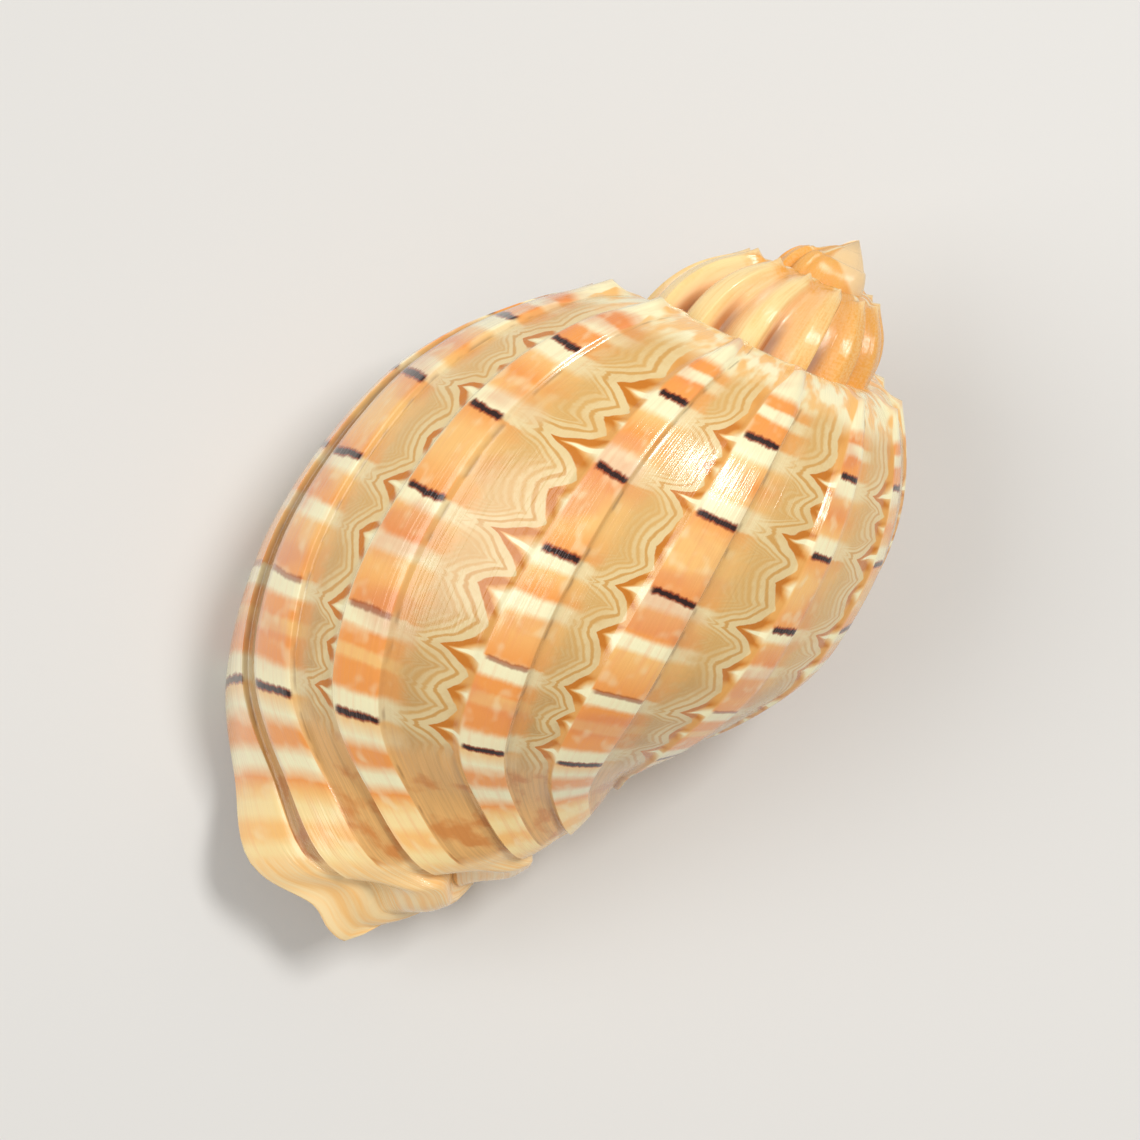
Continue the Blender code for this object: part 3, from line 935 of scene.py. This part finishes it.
def gap_colours(marks, rib_colour):
    """The ground between two ribs: the border of the older rib, then lines that follow its points."""
    gap = (marks.past - RIB_HALF) / GAP
    front, away = border_of_rib(marks, gap)
    lines = ramp(away + marks.warp * 0.5, LINES, 0.0, LINES[-1][0])
    ground = mixed(down_between(marks.along, 36, 54), TAN, GREY_TAN)
    fading = between(away, 0.9, 3.6) * 0.55 + 0.2
    cloudy = between(marks.warp + marks.fine * 0.5, -0.1, 0.2) * 0.25
    colour = mixed((fading + cloudy).math("MINIMUM", 1.0), lines, ground)
    echo = between(gap + marks.warp * 0.35 + marks.fine * 0.2, 0.58, 0.86)
    colour = mixed(echo * 0.75, colour, mixed(0.3, rib_colour, ground))

    pointed = between(front, 0.3, 1.0)
    border = mixed(between(marks.place, -2.3, -1.9), BORDER, PALE)
    border = mixed(pointed * between(away, -0.9, -1.8), border, CREAM)
    border = mixed(between(away, -1.05, -0.65) * pointed, border, BROWN)
    return mixed(between(away, 0.0, -0.14), colour, border)


def with_base_ground(marks, colour):
    """Below the last black line the ground is streaked brown, with blotches."""
    low = down_between(marks.along + marks.warp * 3, *BASE_GROUND)
    blotch = noise(marks.place, marks.along, 2.6, 0.4, detail=3.0, seed=11.0)
    more = between(marks.along, base_at(0.3), base_at(0.7)) * 0.12
    blotch = between(blotch + more, 0.54, 0.74)
    ground = mixed(between(marks.streak, 0.35, 0.7) * 0.6, BASE_BROWN, GREY_TAN)
    return mixed(low, colour, mixed(blotch * 0.7, ground, BLOTCH))


def with_shoulder_ground(marks, colour):
    """Above the shoulder the ground is mottled cream and peach."""
    high = down_between(marks.along + marks.warp * 3, *SHOULDER_GROUND)
    mottle = noise(marks.place, marks.along, 5.0, 0.3, detail=2.0, seed=13.0)
    return mixed(high, colour, mixed(between(mottle, 0.4, 0.6), PEACH, CREAM))


def with_crease_shade(marks, colour):
    """Painted shade at the foot of each rib's steep flank, and in the groove beside the lip's own rib.
    """
    # painted shade along the foot of each rib's steep flank, broken up by the patch noise
    crease_shade = between(marks.off, -RIB_HALF - 0.055, -RIB_HALF - 0.035)
    crease_shade = crease_shade * between(marks.off, -RIB_HALF - 0.015, -RIB_HALF - 0.03)
    colour = mixed(crease_shade * between(marks.patch, 0.45, 0.65) * 0.35, colour, CREASE_SHADE)
    # painted shade in the narrow groove between the lip's own rib and the next, lighter towards the base
    groove = between(marks.place, -1 + RIB_HALF, -0.8) * between(marks.place, -RIB_HALF, -0.2)
    groove = groove * (down_between(marks.along, 56.0, 44.0) * 0.3 + 0.2)
    return mixed(groove, colour, CREASE_SHADE)


def on_rib(marks):
    """1 on the ribs, which are narrower above the shoulder, and 0 on the ground between them."""
    narrow = down_between(marks.along, 17.0, 14.6) * SHOULDER_NARROWING
    reach = marks.off / (1 - narrow)
    return between(reach, -RIB_HALF - 0.015, -RIB_HALF) * between(reach, RIB_HALF + 0.03, RIB_HALF)


def with_dark_lines(marks, colour):
    """The black lines across the ribs, with red-brown edges, and the fainter brown line."""
    band_at = marks.band_at + marks.ragged * 0.2
    apart = [(band_at - edge_at(down)).math("ABSOLUTE") for down in BLACK_LINES]
    nearest = apart[0]
    for other in apart[1:]:
        nearest = nearest.math("MINIMUM", other)
    nearest = nearest + (marks.patch - 0.5) * 0.15
    on_top = between(marks.off, -RIB_HALF - 0.02, -RIB_HALF + 0.01)
    on_top = on_top * between(marks.off, RIB_HALF + 0.01, RIB_HALF - 0.03)
    colour = mixed(between(nearest, 0.56, 0.26) * on_top * 0.95, colour, RED_BROWN)
    colour = mixed(between(nearest, 0.29, 0.15) * on_top, colour, BLACK)
    brown_line = between((marks.band_at - edge_at(BROWN_LINE)).math("ABSOLUTE"), 0.4, 0.12)
    return mixed(brown_line * on_top * 0.7, colour, RED_BROWN)


def with_rim(marks, colour):
    """The rim of the base, ribs and ground alike, is cream and orange."""
    rim = between(marks.along + marks.warp * 2, base_at(0.88), base_at(0.97))
    return mixed(rim, colour, mixed(between(marks.streak, 0.3, 0.7) * 0.5, FASCIOLE, CREAM))


def spire_gold(marks):
    """How golden the spire is: most above the shoulder and on its older ribs, and grained."""
    place, along = marks.place, marks.along
    above = down_between(along + marks.warp * 4, 18.0, 14.5)
    golden = between(place, *SPIRE_GOLD).math("MAXIMUM", above)
    grain = between(noise(place, along, 16.0, 1.5, detail=3.0, seed=15.0), 0.4, 0.6)
    golden = (golden * 0.95 + between(marks.streak, 0.4, 0.7) * 0.3) * (grain * 0.3 + 0.7)
    return golden.math("MINIMUM", 1.0)


def spire_colours(marks):
    """Salmon between pale gold ribs, with painted shade in the pockets at the suture and a painted
    shadow line beside each fold's steep drop, and a tan tip.
    """
    past, along = marks.past, marks.along
    ribbed = between(marks.place, *SPIRE_RIBS)
    valley = between(past, 0.05, 0.4) * between(past, 0.86, 0.74)
    # painted shade in the pocket at the foot of each fold's steep drop, near the suture
    pocket_shade = between(past, 0.4, 0.64) * between(past, 0.8, 0.72)
    pocket_shade = pocket_shade * down_between(along, 23.0, 32.0)
    # a painted shadow line where each fold's steep drop meets the pocket
    edge = between(past, 0.67, 0.72) * between(past, 0.79, 0.74)
    edge = edge * down_between(along, 22.0, 32.0)
    crest = between(marks.off.math("ABSOLUTE"), 0.2, 0.05) * down_between(along, 19.0, 14.0)

    colour = mixed(valley * 0.85, GOLD_PALE, SALMON)
    colour = mixed(spire_gold(marks), colour, GOLD)
    colour = mixed(pocket_shade * ribbed * 0.85, colour, MAUVE_SHADE)
    colour = mixed(edge * ribbed * 0.6, colour, BROWN)
    colour = mixed(crest * 0.8, colour, CREAM)
    tip = between(marks.place + along * 0.1 + marks.fine * 0.2, *TIP_COLOURS)
    return mixed(tip, colour, TIP_TAN)


def on_callus(marks):
    """1 where the callus covers the whorl beside the mouth, and 0 elsewhere."""
    covered = between(marks.place + marks.warp * 2.4, *CALLUS_END)
    covered = covered * between(marks.place, *CALLUS_START)
    return covered * down_between(marks.along + marks.warp * 4, *CALLUS_TOP)


def outside_material():
    material, shader, place, along = new_material("shell_outside")
    marks = Marks(place, along)
    rib_colour = rib_colours(marks)
    ground = gap_colours(marks, rib_colour)
    ground = with_base_ground(marks, ground)
    ground = with_shoulder_ground(marks, ground)
    # painted shade in the ribs' creases and in the groove by the lip
    ground = with_crease_shade(marks, ground)
    colour = mixed(on_rib(marks), ground, rib_colour)
    colour = with_dark_lines(marks, colour)
    colour = with_rim(marks, colour)
    # the spire's colours, with painted shade in its pockets and along its folds' steep drops
    colour = mixed(between(place, *SPIRE_COLOURS), colour, spire_colours(marks))
    spots = callus_colours(marks.streak, noise(place, along, 0.8, 0.11, seed=41.0))
    colour = mixed(on_callus(marks), colour, spots)

    connect(shader.inputs["Base Color"], colour)
    connect(shader.inputs["Roughness"], marks.fine * 0.1 + 0.24)
    shader.inputs["Coat Weight"].default_value = 0.6
    shader.inputs["Coat Roughness"].default_value = 0.07
    add_bump(material, shader, noise(place, along, 60.0, 0.05, detail=2.0, seed=1.0))
    return material


def callus_colours(streak, cloud):
    """The glaze beside the mouth and on the pillar: cream and tan, with large chestnut spots."""
    colour = mixed(between(streak, 0.3, 0.7) * 0.6, GLAZE, PEACH)
    return mixed(between(cloud + streak * 0.06, 0.53, 0.56) * 0.9, colour, CHESTNUT)


def inside_material():
    """The hollow: a glaze through which the bands of the outside show."""
    material, shader, place, around = new_material("shell_inside")
    warp = noise(place, around, 1.6, 0.2, detail=2.0, seed=21.0) - 0.5
    streak = noise(place, around, 14.0, 0.1, detail=3.0, seed=22.0)
    along = around * RING_TO_EDGE + float(EDGE_LENGTH[ROW_DETAIL]) + warp * 2
    colour = mixed(between(streak, 0.3, 0.7) * 0.5, GLAZE, PEACH)
    colour = mixed(between(warp, 0.02, 0.2) * 0.5, colour, TAN)
    near_lip = between(place, -6.0, 0.0)
    for down in (*BLACK_LINES, BROWN_LINE):
        apart = (along - edge_at(down)).math("ABSOLUTE")
        colour = mixed(between(apart, 1.4, 0.2) * near_lip * 0.5, colour, BLOTCH)
    colour = mixed(between(place, -1.0, -5.0) * 0.5, colour, BLOTCH)
    connect(shader.inputs["Base Color"], colour)
    connect(shader.inputs["Roughness"], streak * 0.15 + 0.12)
    shader.inputs["Coat Weight"].default_value = 0.5
    shader.inputs["Coat Roughness"].default_value = 0.06
    add_bump(material, shader, noise(place, around, 30.0, 0.1, detail=2.0, seed=23.0))
    return material


def callus_material():
    """The pillar's glaze."""
    material, shader, place, around = new_material("shell_callus")
    streak = noise(place, around, 3.0, 0.6, detail=3.0, seed=31.0)
    colour = callus_colours(streak, noise(place, around, 0.45, 0.12, seed=32.0))
    connect(shader.inputs["Base Color"], colour)
    connect(shader.inputs["Roughness"], streak * 0.12 + 0.12)
    shader.inputs["Coat Weight"].default_value = 0.6
    shader.inputs["Coat Roughness"].default_value = 0.05
    add_bump(material, shader, streak)
    return material


def area_light(name, aim, azimuth, elevation, distance, size, power):
    """A soft light over the shell. Azimuth 0 is towards the spire, and 90 towards -X."""
    azimuth, elevation = math.radians(azimuth), math.radians(elevation)
    data = bpy.data.lights.new(name, "AREA")
    data.shape = "RECTANGLE"
    data.size, data.size_y = size
    data.energy = power
    light = bpy.data.objects.new(name, data)
    bpy.context.scene.collection.objects.link(light)
    towards = Vector((
        -math.sin(azimuth) * math.cos(elevation), math.cos(azimuth) * math.cos(elevation),
        math.sin(elevation),
    ))
    light.location = aim + towards * distance
    light.rotation_euler = towards.to_track_quat("Z", "Y").to_euler()


def add_camera():
    turn, tilt = CAMERA_TURN, CAMERA_TILT
    axes = Matrix((
        (-math.cos(turn), 0, math.sin(turn)), (math.sin(turn), 0, math.cos(turn)), (0, 1, 0),
    )) @ Matrix.Rotation(tilt, 3, "X")
    right, up, away = CAMERA_TO_TIP
    place = axes.transposed() @ Vector((-right, -up, away)) * MM
    data = bpy.data.cameras.new("camera")
    data.lens = CAMERA_LENS
    data.sensor_width = CAMERA_SENSOR
    data.clip_start = CAMERA_NEAR
    camera = bpy.data.objects.new("camera", data)
    bpy.context.scene.collection.objects.link(camera)
    pose = Matrix.Translation(place) @ axes.transposed().to_4x4()
    camera.matrix_world = shell_to_world() @ pose
    bpy.context.scene.camera = camera


def add_floor():
    bpy.ops.mesh.primitive_plane_add(size=FLOOR_SIZE)
    floor = bpy.context.object
    floor.name = "floor"
    material = bpy.data.materials.new("floor")
    material.use_nodes = True
    shader = material.node_tree.nodes["Principled BSDF"]
    shader.inputs["Base Color"].default_value = FLOOR_GREY
    shader.inputs["Roughness"].default_value = FLOOR_ROUGHNESS
    floor.data.materials.append(material)


def add_light():
    middle = (cad_box[0] + cad_box[1]) / 2
    for name, azimuth, elevation, distance, size, power in LIGHTS:
        area_light(name, middle, azimuth, elevation, distance, size, power)
    world = bpy.data.worlds.new("studio")
    world.use_nodes = True
    background = world.node_tree.nodes["Background"]
    background.inputs["Color"].default_value = STUDIO_COLOUR
    background.inputs["Strength"].default_value = STUDIO_STRENGTH
    bpy.context.scene.world = world
    bpy.context.scene.view_settings.view_transform = "Standard"


def main():
    shell = outside_of_shell()
    inside = hollow()
    pillar = columella()
    for material in (outside_material(), inside_material(), callus_material()):
        for obj in (shell, inside, pillar):
            obj.data.materials.append(material)
    combine(shell, inside, "DIFFERENCE")
    combine(shell, pillar, "UNION")
    apply_modifiers(shell)
    for obj in (inside, pillar):
        bpy.data.objects.remove(obj)
    shell.data.transform(shell_to_world())
    shell.data.shade_smooth()
    shell.data.set_sharp_from_angle(angle=SHARP_EDGE)
    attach(shell, "root")
    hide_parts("shell")
    add_floor()
    add_light()
    add_camera()


main()
